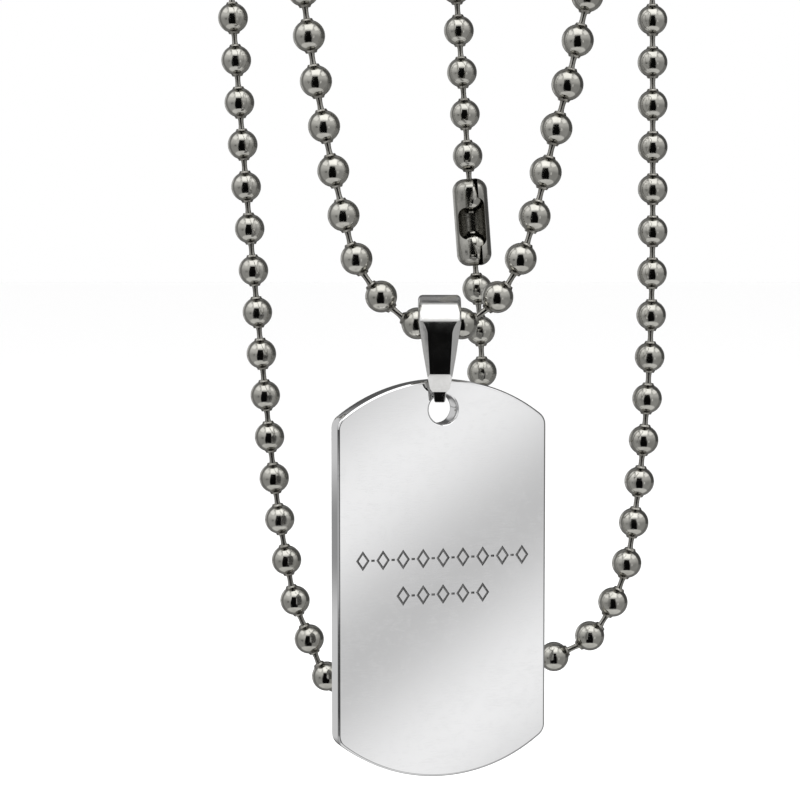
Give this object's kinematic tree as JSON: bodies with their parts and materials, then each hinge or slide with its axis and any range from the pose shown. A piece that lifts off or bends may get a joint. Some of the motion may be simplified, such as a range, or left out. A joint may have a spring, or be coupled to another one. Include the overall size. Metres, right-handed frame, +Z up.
{
  "type": "identification dog tag on a ball chain",
  "caption": "Polished steel identification plate with arched ends, hung by a folded bail from a closed ball chain with a sleeve clasp, stored hanging.",
  "frame": {"origin": "the point that the chain hangs from, at the top of its bights, 26 mm over the picture's upper edge", "axes": "+Z up, -Y towards the viewer of the plate's face, +X to that viewer's right"},
  "size_m": [0.0489, 0.0412, 0.1055],
  "materials": {
    "plate_steel": "mirror-polished stainless steel with fine handling scratches",
    "bail_steel": "polished stainless steel",
    "clasp_steel": "polished rolled steel sheet",
    "chain_steel": "polished, slightly warm steel beads"
  },
  "bodies": {
    "chain": {"front_chain": "chain_steel", "rear_chain": "chain_steel", "clasp": "clasp_steel"},
    "bail": {"bail": "bail_steel"},
    "plate": {"dog_tag": "plate_steel"}
  },
  "joints": [
    {"name": "bail_swing", "type": "hinge", "parent": "chain", "child": "bail", "pos_m": [0, -0.0105, -0.05833], "axis": [-1, 0, 0], "range_deg": [-16, 90]},
    {"name": "plate_swing", "type": "hinge", "parent": "bail", "child": "plate", "pos_m": [0, -0.0105, -0.06578], "axis": [0, 1, 0], "range_deg": [-20, 20]}
  ]
}
